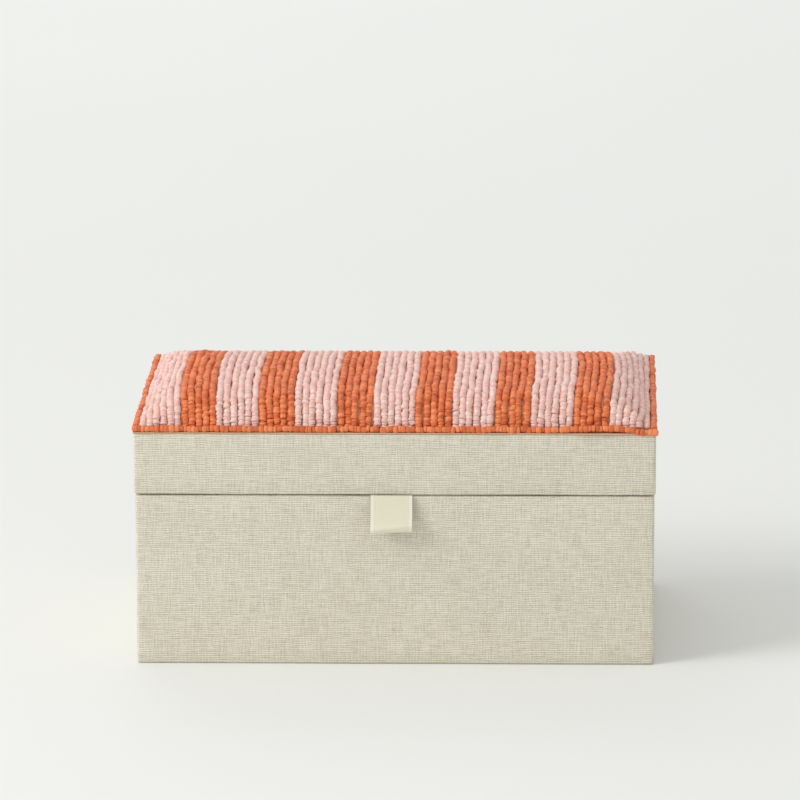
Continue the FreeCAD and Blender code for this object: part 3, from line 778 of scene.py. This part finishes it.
select_none()
steps = len(loop_side(0)) - 1
bpy.ops.mesh.primitive_grid_add(x_subdivisions=26, y_subdivisions=steps, size=1)
loop = bpy.context.object
loop.name = loop.data.name = "ribbon_loop_piece"
for vertex in loop.data.vertices:
    spot = loop_side(vertex.co.x + 0.5)[round((vertex.co.y + 0.5) * steps)]
    vertex.co = Vector((middle + vertex.co.x * 2 * half, spot.y, spot.z))
modify(loop, "SOLIDIFY", thickness=0.18 * MM, offset=0)
smooth(loop, 60)
lay_threads(loop)
satin, shader, node, link = new_material("ivory_satin")
place = node("TexCoord")
ribs = node("TexWave", wave_type="BANDS", bands_direction="X", Scale=700.0, Distortion=1.5, Detail=2.0)
link(place.outputs["Object"], ribs.inputs["Vector"])
ivory = node("ValToRGB")
ivory.color_ramp.elements[0].color = (0.76, 0.73, 0.555, 1)
ivory.color_ramp.elements[1].color = (0.82, 0.785, 0.63, 1)
link(ribs.outputs["Fac"], ivory.inputs["Fac"])
axes = node("SeparateXYZ")
link(place.outputs["Object"], axes.inputs["Vector"])
from_middle = node("Math", operation="SUBTRACT")
from_middle.inputs[1].default_value = middle
link(axes.outputs["X"], from_middle.inputs[0])
outward = node("Math", operation="ABSOLUTE")
link(from_middle.outputs[0], outward.inputs[0])
selvedge = node("MapRange")
for key, value in (("From Min", half - 1.3 * MM), ("From Max", half - 0.9 * MM)):
    selvedge.inputs[key].default_value = value
link(outward.outputs[0], selvedge.inputs["Value"])
paler = node("Mix", data_type="RGBA")
paler.inputs[7].default_value = (0.86, 0.835, 0.72, 1)
link(selvedge.outputs["Result"], paler.inputs["Factor"])
link(ivory.outputs["Color"], paler.inputs[6])
link(paler.outputs[2], shader.inputs["Base Color"])
shader.inputs["Roughness"].default_value = 0.36
shader.inputs["Sheen Weight"].default_value = 0.25
shader.inputs["Anisotropic"].default_value = 0.4
ribbed = node("Bump", Strength=0.25, Distance=0.00005)
link(ribs.outputs["Fac"], ribbed.inputs["Height"])
link(ribbed.outputs["Normal"], shader.inputs["Normal"])
wear(loop, satin)
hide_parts("ribbon_loop")
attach(loop, "pull_tab")

y, z = glued_high.y, glued_low.z
outline = [(y - 0.3 * MM, glued_high.z), (y - 0.3 * MM, z + 3 * MM), (y - 0.35 * MM, z + 1.2 * MM),
           (y - 0.7 * MM, z + 0.3 * MM), (y - 1.4 * MM, z + 0.1 * MM), (glued_low.y, z + 0.1 * MM)]
glued = strip("ribbon_glued_piece", outline, half, 0.6 * MM)
for vertex in glued.data.vertices:
    vertex.co.x += middle
modify(glued, "SOLIDIFY", thickness=0.18 * MM, offset=0)
smooth(glued, 60)
lay_threads(glued)
wear(glued, satin)
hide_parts("ribbon_glued_end")
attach(glued, "lid")

# A pale flat sheet for it to stand on, a large soft light from the left, a light on the far floor, one high
# light and a white sky.
select_none()
bpy.ops.mesh.primitive_plane_add(size=6, location=(0, 0, 0))
floor_sheet = bpy.context.object
floor_sheet.name = "floor_sheet"
paper, shader, node, link = new_material("backdrop_paper")
place = node("TexCoord")
tooth = node("TexNoise", Scale=3.0, Detail=2.0)
link(place.outputs["Object"], tooth.inputs["Vector"])
tint = node("ValToRGB")
tint.color_ramp.elements[0].color = (0.875, 0.88, 0.865, 1)
tint.color_ramp.elements[1].color = (0.895, 0.90, 0.885, 1)
link(tooth.outputs["Fac"], tint.inputs["Fac"])
link(tint.outputs["Color"], shader.inputs["Base Color"])
shader.inputs["Roughness"].default_value = 0.9
wear(floor_sheet, paper)


def lamp(name, place, aim, size, power, colour):
    light = bpy.data.lights.new(name, "AREA")
    light.shape, light.size, light.energy, light.color = "DISK", size, power, colour
    holder = bpy.data.objects.new(name, light)
    bpy.context.collection.objects.link(holder)
    holder.location = place
    holder.rotation_euler = (Vector(aim) - Vector(place)).to_track_quat("-Z", "Y").to_euler()
    return holder


lamp("window_light", (-1.15, -0.75, 0.85), (0, 0, 0.05), 0.7, 7.2, (1.0, 0.985, 0.96))
lamp("backdrop_light", (-0.5, 1.9, 1.5), (-0.4, 1.3, 0), 1.4, 6, (1.0, 1.0, 0.99))
sky = bpy.data.lights.new("high_light", "SUN")
sky.energy, sky.angle, sky.color = 0.5, math.radians(32), (1.0, 0.99, 0.97)
high = bpy.data.objects.new("high_light", sky)
bpy.context.collection.objects.link(high)
high.rotation_euler = Vector((0.70, 0.22, -0.68)).to_track_quat("-Z", "Y").to_euler()
world = bpy.data.worlds.new("studio")
world.use_nodes = True
world.node_tree.nodes["Background"].inputs["Color"].default_value = (0.985, 1.0, 0.985, 1)
world.node_tree.nodes["Background"].inputs["Strength"].default_value = 0.665
bpy.context.scene.world = world
bpy.context.scene.view_settings.view_transform = "Standard"

camera = bpy.data.cameras.new("camera")
camera.lens, camera.sensor_width = 284.6, 36
camera.clip_end = 20
viewer = bpy.data.objects.new("camera", camera)
bpy.context.collection.objects.link(viewer)
viewer.location = (0.0795, -2.4292, 0.6383)
turn, nod, roll = (math.radians(angle) for angle in (1.87, 90 - 12.71, -0.268))
viewer.rotation_euler = (
    Matrix.Rotation(turn, 3, "Z") @ Matrix.Rotation(nod, 3, "X") @ Matrix.Rotation(roll, 3, "Z")).to_euler()
bpy.context.scene.camera = viewer
